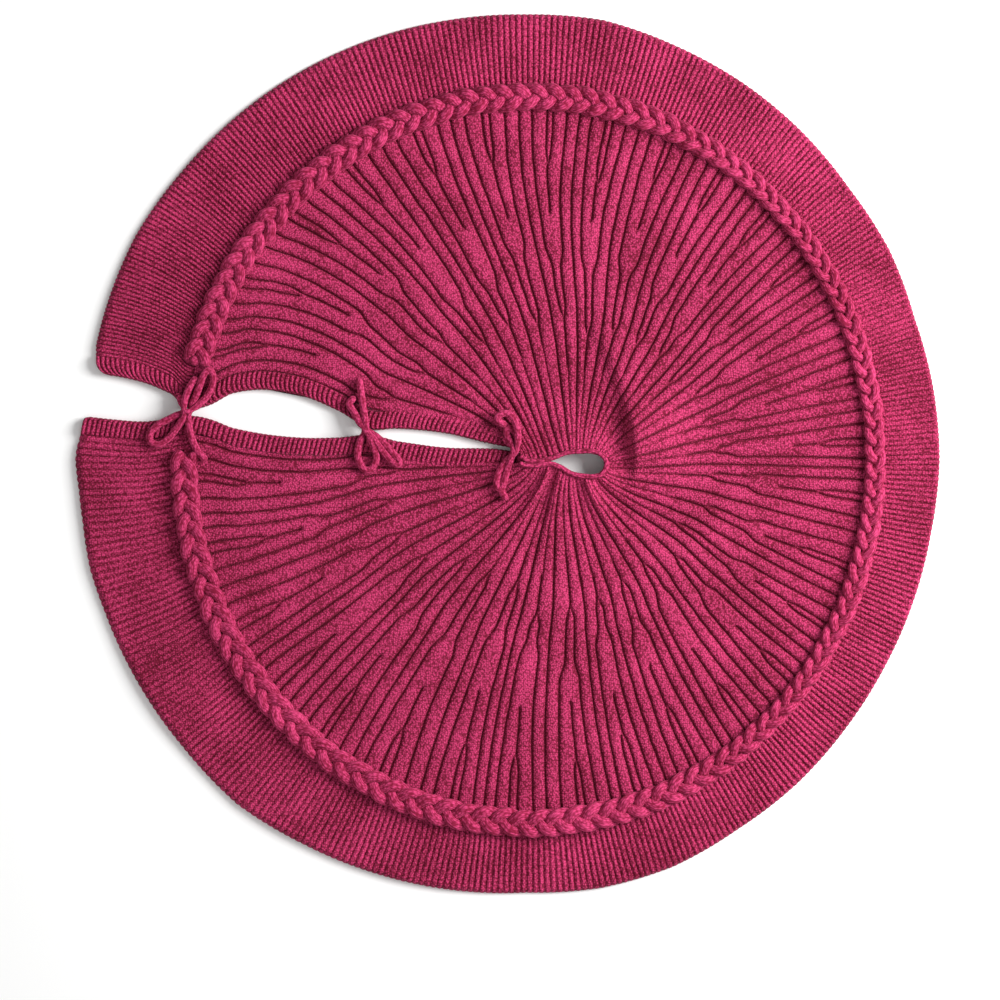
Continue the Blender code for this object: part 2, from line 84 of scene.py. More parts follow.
# Share of the way from neck to rim (1 is the seam under the plait), then y of the slit's upper and lower edge
SLIT = np.array([
    (0.00, 2.5, 0.3),
    (0.10, 5.2, 2.7),
    (0.24, 11.0, 3.3),
    (0.38, 13.4, 6.6),
    (0.46, 13.3, 10.0),
    (0.55, 22.6, 8.6),
    (0.65, 30.2, 8.4),
    (0.76, 33.8, 10.2),
    (0.86, 32.0, 13.6),
    (0.93, 25.6, 18.4),
    (0.985, 24.4, 20.0),
    (1.12, 31.5, 18.8),
    (1.36, 37.3, 17.0),
    (1.64, 41.0, 18.0),
    (2.00, 42.6, 20.0),
])
KNOTS = {"outer": (0.9895, 0.0), "middle": (0.4687, 0.0), "inner": (0.0366, -0.7)}
# Each cord's route from its tack, relative to its knot's middle, as the solids have it
TIE_ROUTES = {
    "outer_upper": (
        (-4.6, 9.0, 1.6), (-3.4, 5.4, 1.6), (-2.2, 2.0, 1.6), (-3.0, -0.6, 1.6), (-8.6, -3.4, 1.6),
        (-15.6, -7.2, 1.6), (-19.6, -11.6, 1.6), (-19.2, -16.0, 1.6), (-14.8, -17.2, 1.6), (-9.4, -13.4, 1.7),
        (-4.9, -7.6, 2.4), (-1.9, -3.0, 3.8), (-1.6, 1.2, 4.2), (-1.2, 6.6, 3.2), (1.5, 13.4, 2.4),
        (5.0, 18.2, 2.0),
    ),
    "outer_lower": (
        (0.6, -8.6, 1.6), (0.4, -5.0, 1.6), (0.6, -1.6, 1.6), (1.6, 2.4, 1.8), (4.4, 8.0, 2.4),
        (6.6, 14.0, 3.0), (8.8, 19.6, 3.2), (11.6, 21.6, 2.8), (13.4, 18.4, 2.2), (13.0, 13.6, 2.0),
        (10.2, 8.0, 2.0), (5.8, 3.4, 2.8), (1.8, 0.2, 4.0), (0.8, -3.0, 3.6), (1.0, -8.8, 2.4),
        (2.6, -15.0, 1.7), (5.6, -21.0, 1.6), (10.0, -25.8, 1.6),
    ),
    "middle_upper": (
        (-2.6, 8.6, 1.6), (-1.9, 5.2, 1.6), (-1.4, 2.0, 1.6), (-1.6, -1.0, 1.6), (-3.0, -4.0, 1.6),
        (-4.6, -9.0, 1.6), (-4.4, -14.8, 1.6), (-1.6, -19.8, 1.6), (2.2, -19.8, 1.6), (5.0, -15.0, 1.6),
        (3.9, -9.0, 1.8), (1.4, -3.2, 3.4), (-0.6, 0.4, 4.4), (-3.6, 4.4, 3.4), (-6.6, 9.8, 2.4),
        (-9.2, 14.2, 2.0), (-7.4, 16.6, 2.0), (-5.6, 17.0, 2.2),
    ),
    "middle_lower": (
        (1.6, -8.4, 1.6), (1.4, -4.6, 1.6), (1.2, -1.4, 1.6), (2.2, -0.4, 1.6), (4.8, -2.6, 1.6),
        (9.4, -6.8, 1.6), (14.2, -12.0, 1.6), (17.0, -15.4, 1.6), (16.4, -17.6, 1.6), (13.0, -15.6, 1.6),
        (8.0, -10.0, 1.8), (3.6, -4.0, 3.0), (1.0, -0.4, 4.4), (-0.4, 3.6, 4.2), (-1.5, 10.4, 2.8),
        (-3.0, 20.2, 1.9), (-4.1, 28.4, 1.7),
    ),
    "inner_upper": (
        (-6.4, 7.6, 1.6), (-3.6, 4.6, 1.6), (-1.2, 1.8, 1.6), (-1.6, -1.6, 2.0), (-5.4, -6.0, 2.4),
        (-9.0, -12.0, 2.4), (-9.8, -17.4, 2.2), (-8.0, -19.8, 2.2), (-6.2, -17.0, 2.4), (-4.6, -10.6, 3.0),
        (-2.0, -3.6, 4.2), (0.6, 0.4, 4.8), (1.3, 6.0, 5.0), (0.8, 12.4, 5.0), (-1.4, 17.8, 4.8),
        (-5.2, 19.8, 4.6), (-9.0, 18.4, 4.6), (-8.6, 15.6, 4.4), (-4.6, 13.4, 3.8),
    ),
    "inner_lower": (
        (3.2, -7.6, 1.6), (2.4, -4.0, 1.6), (1.2, -0.6, 1.6), (1.6, 3.6, 2.0), (1.0, 8.0, 2.2),
        (-1.6, 11.4, 2.4), (-4.6, 11.6, 2.4), (-4.2, 8.0, 2.4), (-2.2, 4.0, 3.2), (-1.2, 0.2, 4.4),
        (-2.4, -4.0, 3.8), (-4.6, -10.4, 2.6), (-6.8, -16.6, 2.0), (-7.4, -20.4, 1.7), (-6.0, -23.2, 1.6),
        (-4.6, -25.8, 1.6),
    ),
}
# The turn of cord over each knot: which tie it is joined to, its direction in degrees and its half width
KNOT_TURNS = {"outer_upper": (80.0, 2.0), "middle_upper": (88.0, 1.9), "inner_upper": (70.0, 1.7)}
# The rolled hem's line from the neck's centre, clockwise from the slit's upper lip
HEM = (
    (-32.2, 1.0), (-29.1, -1.1), (-25.4, -1.8), (-18.0, -1.1), (-8.0, 2.5), (-0.7, 3.3), (5.7, 3.3),
    (10.4, 1.5), (13.0, -2.2), (12.0, -6.9), (8.3, -9.6), (2.0, -9.8), (-5.4, -8.3), (-11.2, -4.9),
    (-17.0, -3.2),
    (-23.3, -4.2), (-29.6, -3.9), (-32.7, -2.6),
)

# Camera
CAMERA = (-4.7, -24.2)
FRAME_WIDTH = 526.0
CAMERA_HEIGHT = 2400.0

random = np.random.default_rng(11)


# Curves and charts

def smooth(value):
    value = np.clip(value, 0.0, 1.0)
    return value * value * (3.0 - 2.0 * value)


def mix(first, second, share):
    return first + (second - first) * share


def through(points, position):
    """Points at positions (0 is the first point, 1 the second) on a smooth curve through the points."""
    points = np.asarray(points, float)
    position = np.asarray(position, float)
    last = len(points) - 1
    span = np.clip(np.floor(position).astype(int), 0, last - 1)
    share = (position - span)[..., None]
    before, start, end, after = (points[np.clip(span + offset, 0, last)] for offset in (-1, 0, 1, 2))
    square = share * share
    cube = square * share
    return (
        (2.0 * cube - 3.0 * square + 1.0) * start
        + (cube - 2.0 * square + share) * 0.5 * (end - before)
        + (3.0 * square - 2.0 * cube) * end
        + (cube - square) * 0.5 * (after - start)
    )


def plait_radius(angle):
    return PANEL_RADIUS - OVAL * np.cos(2.0 * angle) + PLAIT_SHIFT * np.cos(angle)


def rim_radius(angle):
    radius = PANEL_RADIUS + BORDER_WIDTH - RIM_OVAL * np.cos(2.0 * angle)
    return radius - SLIT_SIDE_SPREAD * np.cos(angle) + UPPER_SIDE_SPREAD * np.sin(angle)


# How far the rim lies outside that curve, at degrees counterclockwise from +X. These offsets were read from
# the photograph's outline by a separate scratch program, and not chosen by hand.
RIM_TRIM = (
    (-180.0, 0.3), (-176.0, -0.8), (-172.0, -0.8), (-166.0, 0.5), (-160.0, 0.1), (-150.0, 0.7), (-140.0, 1.5),
    (-130.0, 3.5), (-120.0, 1.8), (-110.0, 1.0), (-90.0, 0.0), (-80.0, 2.6), (-70.0, 3.2), (-60.0, 1.3),
    (-50.0, 1.0), (-40.0, -0.2), (-30.0, -1.0), (-10.0, -1.6), (0.0, -0.9), (10.0, -1.7), (20.0, -2.9),
    (30.0, -1.3), (40.0, -1.9), (50.0, -0.5), (60.0, 0.6), (70.0, 1.3), (80.0, 2.6), (90.0, 0.3),
    (100.0, -0.6), (120.0, -1.2), (140.0, -1.8), (150.0, -1.1), (160.0, -2.6), (165.0, -3.4),
    (168.0, -6.3), (170.5, -9.0),
    (174.5, -3.4), (177.0, -2.0), (178.5, -0.4), (180.0, 0.3),
)


def visible_rim(angle):
    degrees, trim = np.array(RIM_TRIM).T
    turned = (np.degrees(angle) + 180.0) % 360.0 - 180.0
    return rim_radius(angle) + np.interp(turned, degrees, trim)


def slit_x(way):
    plait_x = CENTRE[0] - plait_radius(math.pi)
    rim_x = CENTRE[0] - rim_radius(math.pi)
    way = np.asarray(way, float)
    return np.where(way < 1.0, mix(NECK_START, plait_x, way), mix(plait_x, rim_x, way - 1.0))


def slit_way(x):
    plait_x = slit_x(1.0)
    rim_x = slit_x(2.0)
    inner = (NECK_START - x) / (NECK_START - plait_x)
    outer = 1.0 + (plait_x - x) / (plait_x - rim_x)
    return np.where(x > plait_x, inner, outer)


def slit_edges(x):
    """(upper, lower) y of the slit's edges at x."""
    way = np.clip(slit_way(np.asarray(x, float)), 0.0, 2.0)
    stations = SLIT[:, 0]
    span = np.clip(np.searchsorted(stations, way, side="left") - 1, 0, len(stations) - 2)
    share = (way - stations[span]) / (stations[span + 1] - stations[span])
    edges = through(SLIT[:, 1:], span + share)
    return edges[..., 0], edges[..., 1]


def ring_point(angle, ring):
    """A point on a ring round the skirt: 0 is the neck, 1 the seam under the plait, 2 the rim."""
    inner = np.clip(ring, 0.0, 1.0)
    drift = (1.0 - inner) ** NECK_DRIFT
    plait = plait_radius(angle)
    x = mix(CENTRE[0], NECK_CENTRE[0], drift) + mix(NECK_HALF_LENGTH, plait, inner) * np.cos(angle)
    y = mix(CENTRE[1], NECK_CENTRE[1], drift) + mix(NECK_HALF_WIDTH, plait, inner) * np.sin(angle)
    beyond = np.clip(ring - 1.0, 0.0, None) * (visible_rim(angle) - plait)
    return x + beyond * np.cos(angle), y + beyond * np.sin(angle)


def edge_angle(ring, upper, reach):
    """The angles at which rings meet the line at reach beside the slit's edge."""
    side = 1.0 if upper else -1.0
    far = np.full(np.shape(ring), 1.2 * math.pi)
    near = np.full(np.shape(ring), 0.5 * math.pi)
    for _ in range(40):
        middle = 0.5 * (far + near)
        x, y = ring_point(side * middle, ring)
        upper_y, lower_y = slit_edges(x)
        beside = y - (upper_y + reach) if upper else (lower_y - reach) - y
        near = np.where(beside > 0.0, middle, near)
        far = np.where(beside > 0.0, far, middle)
    return side * 0.5 * (far + near)


def chart_angle(way_round, ring, reach=BAND_WIDTH):
    """The angle at a share of the way round, from the slit's upper band clockwise to the lower one."""
    fade = 0.5 - 0.3 * np.minimum(ring, 1.0)
    plain = math.pi - TURN * way_round
    pull_upper = np.clip(1.0 - way_round / fade, 0.0, None) ** 2
    pull_lower = np.clip(1.0 - (1.0 - way_round) / fade, 0.0, None) ** 2
    first = edge_angle(ring, True, reach)
    last = edge_angle(ring, False, reach)
    return plain + (first - math.pi) * pull_upper + (last + math.pi) * pull_lower


def ridge(x, y):
    """The soft fold beside the neck: steep towards the neck and long on its far side."""
    beyond = y + 6.0
    ridge_x = 68.0 - 0.0040 * beyond * beyond
    width = np.where(x < ridge_x, RIDGE_INNER_WIDTH, RIDGE_OUTER_WIDTH)
    span = smooth((y + 30.0) / 26.0) * smooth((82.0 - y) / 34.0)
    height = RIDGE_LOW + (RIDGE_HEIGHT - RIDGE_LOW) * np.exp(-(((y - 8.0) / 17.0) ** 2))
    return height * span * np.exp(-(((x - ridge_x) / width) ** 2))


# The panel's own chart: the solids' chart outside LAP_RING, and inside it lines that run on to the hem

LAP_RING = 0.40
HEM_PULL = 0.55
FABRIC_REACH = 9.4        # from the slit's edge to the panel's and border's edge, under the band


def hem_line(share):
    """The hem's line round the neck opening, clockwise from the slit's upper lip."""
    points = through(HEM, share * (len(HEM) - 1))
    return NECK_CENTRE[0] + points[..., 0], NECK_CENTRE[1] + points[..., 1]


def panel_place(way, ring, reach=FABRIC_REACH):
    """x and y on the panel: 0 is the hem, 1 the seam under the plait."""
    outer = np.maximum(ring, LAP_RING)
    x, y = ring_point(chart_angle(way, outer, reach), outer)
    lap = np.full((1, 1), LAP_RING)
    step = 0.01
    lap_x, lap_y = ring_point(chart_angle(way, lap, reach), lap)
    next_x, next_y = ring_point(chart_angle(way, lap + step, reach), lap + step)
    hem_x, hem_y = hem_line(way)
    off_x, off_y = -np.gradient(hem_y, axis=1), np.gradient(hem_x, axis=1)
    off = np.hypot(off_x, off_y)
    span = np.hypot(lap_x - hem_x, lap_y - hem_y)
    leaving = 0.75 - 0.6 * smooth((way - 0.86) / 0.14)
    square_off = leaving * span / np.maximum(off, 1e-9)
    share = np.clip(ring / LAP_RING, 0.0, 1.0)
    square, cube = share * share, share * share * share
    blend = (
        2.0 * cube - 3.0 * square + 1.0,
        cube - 2.0 * square + share,
        3.0 * square - 2.0 * cube,
        cube - square,
    )
    inner = []
    for hem, start, after, away in ((hem_x, lap_x, next_x, off_x), (hem_y, lap_y, next_y, off_y)):
        slope = (after - start) / step * LAP_RING
        leave = mix(HEM_PULL * (start - hem), away * square_off, 0.6)
        inner.append(blend[0] * hem + blend[1] * leave + blend[2] * start + blend[3] * slope)
    inside = ring < LAP_RING
    return np.where(inside, inner[0], x), np.where(inside, inner[1], y)


# Meshes

SHARP = math.radians(76.0)


def to_mesh(name, points, quads, polygons, painted_shade):
    """A smooth-shaded mesh with its rest place and its painted-shade mask (0 on a rib, 1 in a groove) at each
    vertex.
    """
    mesh = bpy.data.meshes.new(name)
    corners = np.concatenate([quads.ravel()] + [np.array(face) for face in polygons])
    sizes = np.concatenate([np.full(len(quads), 4), np.array([len(face) for face in polygons], int)])
    starts = np.concatenate([[0], np.cumsum(sizes)[:-1]])
    mesh.vertices.add(len(points))
    mesh.loops.add(len(corners))
    mesh.polygons.add(len(sizes))
    mesh.vertices.foreach_set("co", (points * MM).astype(np.float32).ravel())
    mesh.loops.foreach_set("vertex_index", corners.astype(np.int32))
    mesh.polygons.foreach_set("loop_start", starts.astype(np.int32))
    mesh.update(calc_edges=True)
    mesh.shade_smooth()
    place = mesh.attributes.new("place", "FLOAT_VECTOR", "POINT")
    place.data.foreach_set("vector", points.astype(np.float32).ravel())
    depth = mesh.attributes.new("painted_shade", "FLOAT", "POINT")
    depth.data.foreach_set("value", painted_shade.astype(np.float32).ravel())
    mesh.validate()
    mesh.set_sharp_from_angle(angle=SHARP)
    piece = bpy.data.objects.new(name, mesh)
    bpy.context.scene.collection.objects.link(piece)
    return piece


def grid_quads(rows, columns, start=0):
    index = start + np.arange(rows * columns).reshape(rows, columns)
    corners = (index[:-1, :-1], index[:-1, 1:], index[1:, 1:], index[1:, :-1])
    return np.stack([corner.ravel() for corner in corners], axis=1)


def shell(name, top, bottom, painted_shade):
    """A closed skin of fabric: a fine top, a coarser underside with as many columns, and the walls between.

    Rows run outwards and columns clockwise, so that the top's faces look up.
    """
    rows, columns = top.shape[:2]
    under_rows = bottom.shape[0]
    under = rows * columns
    top_quads = grid_quads(rows, columns)
    bottom_quads = grid_quads(under_rows, columns, under)[:, ::-1]
    upper = np.arange(rows * columns).reshape(rows, columns)
    lower = under + np.arange(under_rows * columns).reshape(under_rows, columns)
    inner = np.stack([lower[0, :-1], lower[0, 1:], upper[0, 1:], upper[0, :-1]], axis=1)
    outer = np.stack([upper[-1, :-1], upper[-1, 1:], lower[-1, 1:], lower[-1, :-1]], axis=1)
    first = list(upper[:, 0]) + list(lower[::-1, 0])
    last = list(upper[::-1, -1]) + list(lower[:, -1])
    points = np.concatenate([top.reshape(-1, 3), bottom.reshape(-1, 3)])
    # The underside gets half the painted shade.
    depth = np.concatenate([painted_shade.ravel(), np.full(under_rows * columns, 0.5)])
    quads = np.concatenate([top_quads, bottom_quads, inner, outer])
    return to_mesh(name, points, quads, [first, last], depth)


def frames(path):
    """(tangent, sideways, up) unit vectors along a path that is never near vertical."""
    tangent = np.gradient(path, axis=0)
    tangent /= np.linalg.norm(tangent, axis=1)[:, None]
    sideways = np.stack([-tangent[:, 1], tangent[:, 0], np.zeros(len(path))], axis=1)
    sideways /= np.linalg.norm(sideways, axis=1)[:, None]
    return tangent, sideways, np.cross(tangent, sideways)


def tube(name, path, half_width, half_height, sides, stitch):
    """A knitted cord: an oval tube whose two columns of stitches bulge along it, rounded off at both ends."""
    _, sideways, up = frames(path)
    length = np.concatenate([[0.0], np.cumsum(np.linalg.norm(np.diff(path, axis=0), axis=1))])
    turn = TURN * np.arange(sides) / sides
    from_end = np.minimum(length, length[-1] - length) / np.maximum(half_width, 0.1)
    cap = np.sqrt(np.clip(1.0 - (1.0 - np.clip(from_end, 0.0, 1.0)) ** 2, 0.02, 1.0))
    bulge = np.cos(TURN * length[:, None] / stitch + 2.2 * np.abs(np.sin(turn))[None, :])
    swell = 1.0 + 0.02 * bulge
    across = (half_width * cap)[:, None] * swell * np.cos(turn)[None, :]
    above = (half_height * cap)[:, None] * swell * np.sin(turn)[None, :]
    points = path[:, None, :] + across[..., None] * sideways[:, None, :] + above[..., None] * up[:, None, :]
    count = len(path)
    index = np.arange(count * sides).reshape(count, sides)
    after = np.roll(index, -1, axis=1)
    quads = np.stack([index[:-1], after[:-1], after[1:], index[1:]], axis=-1).reshape(-1, 4)
    caps = [list(index[0, ::-1]), list(index[-1])]
    # Painted shade: darker between the stitch bulges and on the cord's underside, which faces the floor.
    painted_shade = 0.12 - 0.12 * bulge * np.ones((count, sides))
    painted_shade = np.clip(painted_shade + 0.8 * smooth(0.35 - np.sin(turn))[None, :], 0.0, 1.0)
    piece = to_mesh(name, points.reshape(-1, 3), quads, caps, painted_shade)
    own = np.stack([
        0.5 * length[:, None] + 0.0 * across,
        half_width.mean() * np.cos(turn)[None, :] + 0.0 * across,
        half_width.mean() * np.sin(turn)[None, :] + 0.0 * across,
    ], axis=-1)
    piece.data.attributes["place"].data.foreach_set("vector", own.astype(np.float32).ravel())
    return piece


def even(points, step):
    """Points every step along the smooth curve through a route."""
    fine = through(points, np.linspace(0.0, len(points) - 1, 60 * (len(points) - 1) + 1))
    length = np.concatenate([[0.0], np.cumsum(np.linalg.norm(np.diff(fine, axis=0), axis=1))])
    count = max(4, round(length[-1] / step))
    stations = np.linspace(0.0, length[-1], count + 1)
    return np.stack([np.interp(stations, length, fine[:, axis]) for axis in range(3)], axis=1)


# Materials

GROOVE_SHADE = 0.42       # how much painted shade darkens the wool in a groove


def knit(name, dark, light, stitch, bump, fuzz=0.06):
    """Wool: speckled stitches, painted shade in grooves and hollows, slow patches of tone, a matte surface
    and a soft sheen.
    """
    material = bpy.data.materials.new(name)
    material.use_nodes = True
    tree = material.node_tree
    nodes = tree.nodes
    link = tree.links.new
    shader = nodes["Principled BSDF"]
    place = nodes.new("ShaderNodeAttribute")
    place.attribute_name = "place"
    depth = nodes.new("ShaderNodeAttribute")
    depth.attribute_name = "painted_shade"

    cells = nodes.new("ShaderNodeTexVoronoi")
    cells.feature = "SMOOTH_F1"
    cells.inputs["Scale"].default_value = 1.0 / stitch
    cells.inputs["Smoothness"].default_value = 0.15
    cells.inputs["Randomness"].default_value = 0.75
    link(place.outputs["Vector"], cells.inputs["Vector"])
    stitches = nodes.new("ShaderNodeMapRange")
    stitches.inputs["From Min"].default_value = 0.1
    stitches.inputs["From Max"].default_value = 0.75
    stitches.inputs["To Min"].default_value = 1.0
    stitches.inputs["To Max"].default_value = 0.0
    link(cells.outputs["Distance"], stitches.inputs["Value"])

    fibres = nodes.new("ShaderNodeTexNoise")
    fibres.inputs["Scale"].default_value = 2.2 / stitch
    fibres.inputs["Detail"].default_value = 3.0
    link(place.outputs["Vector"], fibres.inputs["Vector"])
    patches = nodes.new("ShaderNodeTexNoise")
    patches.inputs["Scale"].default_value = 0.035
    patches.inputs["Detail"].default_value = 3.0
    link(place.outputs["Vector"], patches.inputs["Vector"])

    def maths(operation, first, second):
        node = nodes.new("ShaderNodeMath")
        node.operation = operation
        for socket, value in zip(node.inputs, (first, second)):
            if isinstance(value, float):
                socket.default_value = value
            else:
                link(value, socket)
        return node.outputs[0]

    stitch_part = maths("MULTIPLY", stitches.outputs[0], 0.62)
    fibre_part = maths("MULTIPLY", fibres.outputs[0], 0.38)
    speckle = maths("ADD", stitch_part, fibre_part)
    tone = maths("ADD", speckle, maths("MULTIPLY", maths("SUBTRACT", patches.outputs[0], 0.5), 0.5))
    # Painted shade: the mask darkens the colour in grooves, hollows and undersides.
    tone = maths("SUBTRACT", tone, maths("MULTIPLY", depth.outputs["Fac"], GROOVE_SHADE))
    ramp = nodes.new("ShaderNodeValToRGB")
    ramp.color_ramp.elements[0].position = 0.15
    ramp.color_ramp.elements[0].color = (*dark, 1.0)
    ramp.color_ramp.elements[1].position = 0.80
    ramp.color_ramp.elements[1].color = (*light, 1.0)
    link(tone, ramp.inputs["Fac"])
    link(ramp.outputs["Color"], shader.inputs["Base Color"])

    rough = nodes.new("ShaderNodeMapRange")
    rough.inputs["To Min"].default_value = 0.82
    rough.inputs["To Max"].default_value = 0.98
    link(fibres.outputs[0], rough.inputs["Value"])
    link(rough.outputs[0], shader.inputs["Roughness"])
    shader.inputs["Specular IOR Level"].default_value = 0.25
    shader.inputs["Sheen Weight"].default_value = fuzz
    shader.inputs["Sheen Roughness"].default_value = 0.45
    shader.inputs["Sheen Tint"].default_value = (1.0, 0.35, 0.50, 1.0)

    lump = nodes.new("ShaderNodeBump")
    lump.inputs["Strength"].default_value = 0.9
    lump.inputs["Distance"].default_value = bump * MM
    link(speckle, lump.inputs["Height"])
    link(lump.outputs["Normal"], shader.inputs["Normal"])
    return material


DARK = (0.125, 0.0008, 0.016)
LIGHT = (0.63, 0.044, 0.165)
PLAIT_DARK = (0.19, 0.0025, 0.027)
PLAIT_LIGHT = (0.64, 0.052, 0.180)
MATERIALS = {
    "wide_rib_knit": knit("wide_rib_knit", DARK, LIGHT, 1.08, 0.50),
    "fine_rib_knit": knit("fine_rib_knit", DARK, LIGHT, 1.08, 0.45),
    "band_rib_knit": knit("band_rib_knit", DARK, LIGHT, 1.02, 0.40),
    "neck_knit": knit("neck_knit", DARK, LIGHT, 1.02, 0.40),
    "plait_knit": knit("plait_knit", PLAIT_DARK, PLAIT_LIGHT, 0.95, 0.40, 0.10),
    "tie_cord": knit("tie_cord", PLAIT_DARK, PLAIT_LIGHT, 0.90, 0.40, 0.10),
    "sewing_yarn": knit("sewing_yarn", DARK, LIGHT, 0.8, 0.2),
}


def dress(piece, slot, *nodes):
    piece.data.materials.append(MATERIALS[slot])
    if nodes:
        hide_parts(*nodes)


# The panel

# Share of the way round at each repeat's fork, in thousandths
FORKS = (
    25, 75, 122, 162, 199, 231, 261, 288, 317, 345, 373, 401, 430, 461, 491, 518,
    551, 581, 610, 640, 670, 698, 725, 756, 783, 817, 850, 880, 912, 949, 981,
)
FORK_PLACE = 0.29         # of a fork in its repeat
FORK_SPREAD = 0.06
GROOVE_DEPTH = 1.5
GROOVE_WIDTH = 0.52
PILLOW_DEPTH = 0.6
PILLOW_WIDTH = 2.0
COLLAR_RING = 0.11


def repeat_phase(way):
    """Which repeat a line belongs to, and how far across it."""
    places = np.array(FORKS) / 1000.0
    numbers = np.arange(len(places)) + FORK_PLACE
    first = places[0] - (places[1] - places[0]), places[-1] + (places[-1] - places[-2])
    places = np.concatenate([[first[0]], places, [first[1]]])
    numbers = np.concatenate([[numbers[0] - 1.0], numbers, [numbers[-1] + 1.0]])
    fine = through(np.stack([places, numbers], axis=1), np.linspace(0.0, len(places) - 1, 2000))
    return np.interp(way, fine[:, 0], fine[:, 1])


def groove_lines(ring, jitter):
    """Each groove's (place in its repeat, strength) at a ring, for one repeat's own jitter."""
    fork = 0.79 + jitter["fork"]
    fork_end = 0.645 + jitter["fork_end"]
    kink = 0.50 + jitter["kink"]
    merge = 0.335 + jitter["merge"]
    lean_end = 0.235 + jitter["lean_end"]
    settle = smooth((0.95 - ring) / 0.35)
    narrow = smooth((kink + 0.04 - ring) / 0.07)
    close = smooth((merge + 0.035 - ring) / 0.05)
    long_place = 0.05 * settle + 0.11 * narrow + 0.13 * close
    lean_place = 0.585 - 0.05 * settle - 0.12 * narrow - 0.12 * close
    middle = 0.29 + 0.03 * smooth((0.8 - ring) / 0.3)
    spread = FORK_SPREAD * np.sqrt(np.clip((ring - fork) / 0.05, 0.0, 1.0))
    hook = jitter["hook"] * smooth((fork_end + 0.018 - ring) / 0.025)
    bend = jitter["hook"] * smooth((lean_end + 0.03 - ring) / 0.04)
    return (
        (long_place, 0.55 + 0.45 * smooth((ring - merge) / 0.015)),
        (middle - spread, smooth((ring - fork + 0.004) / 0.008)),
        (middle + spread, smooth((ring - fork + 0.004) / 0.008)),
        (middle + 0.07 * hook, smooth((ring - fork_end) / 0.012) * smooth((fork + 0.012 - ring) / 0.02)),
        (lean_place + 0.10 * bend, smooth((ring - lean_end) / 0.025)),
        (0.79 + 0.035 * smooth((0.6 - ring) / 0.2), np.ones_like(ring)),
    )


JITTERS = {"fork": 0.035, "fork_end": 0.05, "kink": 0.08, "merge": 0.04, "lean_end": 0.04}


def repeat_jitters():
    jitters = []
    for _ in range(len(FORKS) + 3):
        jitter = {name: random.uniform(-1.0, 1.0) * spread for name, spread in JITTERS.items()}
        jitter["hook"] = random.choice([-1.0, 1.0])
        jitter["shift"] = random.uniform(-0.018, 0.018, 6)
        jitter["wave"] = random.uniform(0.03, 0.11, 6)
        jitter["start"] = random.uniform(0.0, TURN, (6, 2))
        jitters.append(jitter)
    return jitters


def panel_relief(phase, ring, repeat_mm, jitters):
    """How deep the fabric lies under a rib's crown, at each vertex."""
    groove = np.zeros_like(phase)
    line_ring = ring[:, 0]
    for number, jitter in enumerate(jitters, -1):
        columns = np.flatnonzero(np.abs(phase[0] - number - 0.5) < 1.0)
        if not len(columns):
            continue
        local = phase[:, columns] - number
        for kind, (place, strength) in enumerate(groove_lines(line_ring, jitter)):
            wobble = np.sin(line_ring * 45.0 + jitter["start"][kind, 0])
            wobble = wobble + 0.6 * np.sin(line_ring * 83.0 + jitter["start"][kind, 1])
            line = (place + jitter["shift"][kind])[:, None]
            away = np.abs((local - line) * repeat_mm[:, columns] + (jitter["wave"][kind] * wobble)[:, None])
            cut = np.exp(-((away / GROOVE_WIDTH) ** 1.5))
            pillow = np.exp(-((away / PILLOW_WIDTH) ** 1.7))
            depth = strength[:, None] * (GROOVE_DEPTH * cut + PILLOW_DEPTH * pillow)
            groove[:, columns] = np.maximum(groove[:, columns], depth)
    return groove


PANEL_COLUMNS = 2700
PANEL_ROWS = 115
UNDER_ROWS = 28
MOUND_RING = 0.17


def surface_top(x, y):
    """Slow swells of the laid-out fabric."""
    return (
        0.35 * np.sin(x / 31.0 + 1.3) * np.sin(y / 27.0)
        + 0.25 * np.sin(x / 17.0 - y / 23.0 + 0.6)
    )


def panel_lift(x, y, way, ring):
    """The fabric's height over its flat place: the mound and gathers round the neck, and the soft fold."""
    mound = COLLAR_HEIGHT * smooth(1.0 - ring / MOUND_RING)
    gathered = smooth((way - 0.42) / 0.08) * smooth((0.95 - way) / 0.08)
    waves = np.sin(TURN * 11.0 * way + 1.0) + 0.6 * np.sin(TURN * 17.0 * way + 2.2)
    gathers = 1.1 * gathered * waves * smooth((0.30 - ring) / 0.22) * smooth(ring / 0.03)
    return mound + gathers + ridge(x, y)


def ribbed_part(columns, rings, jitters):
    """(grid, lift, painted-shade mask) of the ribbed fabric between rings."""
    way = np.linspace(0.0, 1.0, columns)[None, :]
    ring = rings[:, None]
    x, y = panel_place(way, ring)
    phase = repeat_phase(way) + np.zeros_like(ring)
    step = np.hypot(np.gradient(x, axis=1), np.gradient(y, axis=1))
    repeat_mm = step / np.gradient(phase, axis=1)
    groove = panel_relief(phase, ring, repeat_mm, jitters)
    groove = groove * np.clip(repeat_mm / 8.0, 0.45, 1.0)
    lift = panel_lift(x, y, way, ring)
    top = PANEL_THICKNESS + 0.3 - groove + lift + surface_top(x, y) * smooth((ring - 0.05) / 0.3)
    # The grooves' depth share is the mask for painted shade in the grooves.
    painted_shade = np.clip(groove / (GROOVE_DEPTH + PILLOW_DEPTH), 0.0, 1.0)
    return np.stack([x, y, top], axis=-1), lift, painted_shade


